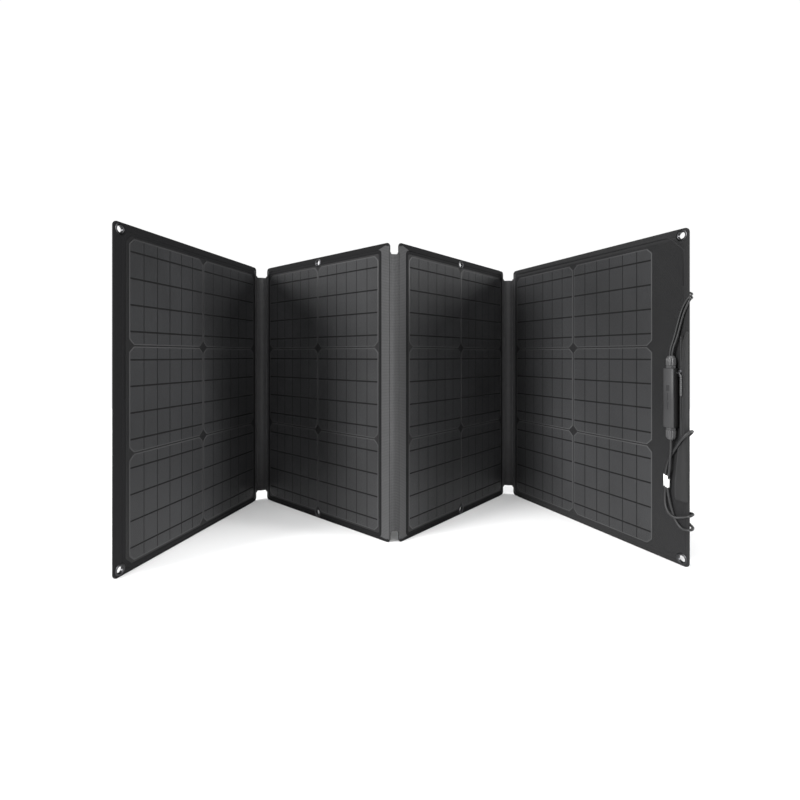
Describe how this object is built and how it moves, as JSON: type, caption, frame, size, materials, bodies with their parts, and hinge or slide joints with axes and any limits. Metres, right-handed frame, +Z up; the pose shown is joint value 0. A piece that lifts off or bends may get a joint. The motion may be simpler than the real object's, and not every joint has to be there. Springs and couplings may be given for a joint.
{
  "type": "folding solar panel",
  "caption": "Upright zig-zag of stiff solar panels joined by fabric hinge strips, with eyelets, a zipped cable pocket, an in-line module and an output lead.",
  "frame": {"origin": "on the floor, below the middle of the standing panels' box", "axes": "+Z up; +X along the zig-zag from the plain free edge to the free edge with the cables; the cells face mostly -Y"},
  "size_m": [0.8846, 0.3918, 0.509],
  "materials": {
    "rear_fabric": "woven polyester, matte",
    "border_fabric": "woven polyester, matte",
    "board": "glass-fibre board",
    "cells": "monocrystalline silicon",
    "ribbon": "tinned copper ribbon",
    "laminate": "embossed clear polymer film",
    "grommet": "black lacquered eyelet",
    "flat_cable": "flat insulated cable",
    "case_plastic": "fine textured black plastic",
    "circuit": "circuit board with diodes",
    "gland": "ribbed black nylon",
    "seal_rubber": "soft black rubber",
    "terminal": "plated brass",
    "screw": "zinc plated",
    "zip_plastic": "nylon coil",
    "zip_metal": "black lacquered zinc",
    "pull_rubber": "ribbed moulded pull",
    "lead_sheath": "flexible black sheath",
    "tie": "black strap",
    "tag": "white label film",
    "plug_rubber": "moulded grip",
    "plug_metal": "nickel plated"
  },
  "bodies": {
    "hinge_2": {"hinge_web_2": "rear_fabric", "hinge_face_2": "border_fabric", "hinge_cable_2": "flat_cable"},
    "panel_2": {"rear_cover_2": "rear_fabric", "backing_board_2": "board", "front_border_2": "border_fabric", "solar_cells_2": "cells", "cell_ribbons_2": "ribbon", "front_laminate_2": "laminate", "grommets_2": "grommet"},
    "hinge_1": {"hinge_web_1": "rear_fabric", "hinge_face_1": "border_fabric", "hinge_cable_1": "flat_cable"},
    "panel_1": {"rear_cover_1": "rear_fabric", "backing_board_1": "board", "front_border_1": "border_fabric", "solar_cells_1": "cells", "cell_ribbons_1": "ribbon", "front_laminate_1": "laminate", "grommets_1": "grommet"},
    "panel_3": {"rear_cover_3": "rear_fabric", "backing_board_3": "board", "front_border_3": "border_fabric", "solar_cells_3": "cells", "cell_ribbons_3": "ribbon", "front_laminate_3": "laminate", "grommets_3": "grommet"},
    "hinge_3": {"hinge_web_3": "rear_fabric", "hinge_face_3": "border_fabric", "hinge_cable_3": "flat_cable"},
    "panel_4": {"rear_cover_4": "rear_fabric", "backing_board_4": "board", "front_border_4": "border_fabric", "solar_cells_4": "cells", "cell_ribbons_4": "ribbon", "front_laminate_4": "laminate", "grommets_4": "grommet", "module_front_shell": "case_plastic", "module_rear_shell": "case_plastic", "module_board": "circuit", "gland_bodies": "gland", "gland_nuts": "gland", "gland_seals": "seal_rubber", "junction_base": "case_plastic", "junction_lid": "case_plastic", "junction_terminals": "terminal", "cover_screws": "screw", "cable_pocket": "border_fabric", "zip_coil": "zip_plastic", "input_lead_a": "lead_sheath", "input_lead_b": "lead_sheath", "output_lead": "lead_sheath", "lead_coil": "lead_sheath", "coil_tie": "tie", "lead_tag": "tag", "plug_grip": "plug_rubber", "plug_barrel": "plug_metal", "plug_pin": "terminal"},
    "zip_slider": {"zip_slider": "zip_metal"},
    "zip_pull": {"zip_pull": "pull_rubber"}
  },
  "joints": [
    {"name": "fold_1_inner", "type": "hinge", "parent": "panel_2", "child": "hinge_1", "pos_m": [-0.30548, 0.15813, 0], "axis": [0, 0, 1], "range_deg": [-57.25, 32.75]},
    {"name": "fold_1_outer", "type": "hinge", "parent": "hinge_1", "child": "panel_1", "pos_m": [-0.32454, 0.15206, 0], "axis": [0, 0, 1], "range_deg": [-57.25, 32.75]},
    {"name": "fold_2_left", "type": "hinge", "parent": "hinge_2", "child": "panel_2", "pos_m": [-0.0276, -0.07176, 0], "axis": [0, 0, -1], "range_deg": [-43.5, 46.5]},
    {"name": "fold_2_right", "type": "hinge", "parent": "hinge_2", "child": "panel_3", "pos_m": [-0.01563, -0.07094, 0], "axis": [0, 0, 1], "range_deg": [-43.5, 46.5]},
    {"name": "fold_3_inner", "type": "hinge", "parent": "panel_3", "child": "hinge_3", "pos_m": [0.22849, 0.19453, 0], "axis": [0, 0, -1], "range_deg": [-55.8, 33.2]},
    {"name": "fold_3_outer", "type": "hinge", "parent": "hinge_3", "child": "panel_4", "pos_m": [0.24827, 0.19161, 0], "axis": [0, 0, -1], "range_deg": [-55.8, 33.2]},
    {"name": "zip_travel", "type": "slide", "parent": "panel_4", "child": "zip_slider", "axis": [0, 0, 1], "range_m": [-0.045, 0.045]},
    {"name": "pull_swing", "type": "hinge", "parent": "zip_slider", "child": "zip_pull", "pos_m": [0.40406, -0.15754, 0.291], "axis": [-0.4352, 0.9003, 0], "range_deg": [0, 100]}
  ],
  "couplings": [
    {"joint": "fold_1_outer", "follows": "fold_1_inner", "ratio": 1},
    {"joint": "fold_3_outer", "follows": "fold_3_inner", "ratio": 1},
    {"joint": "fold_2_right", "follows": "fold_2_left", "ratio": 1}
  ]
}
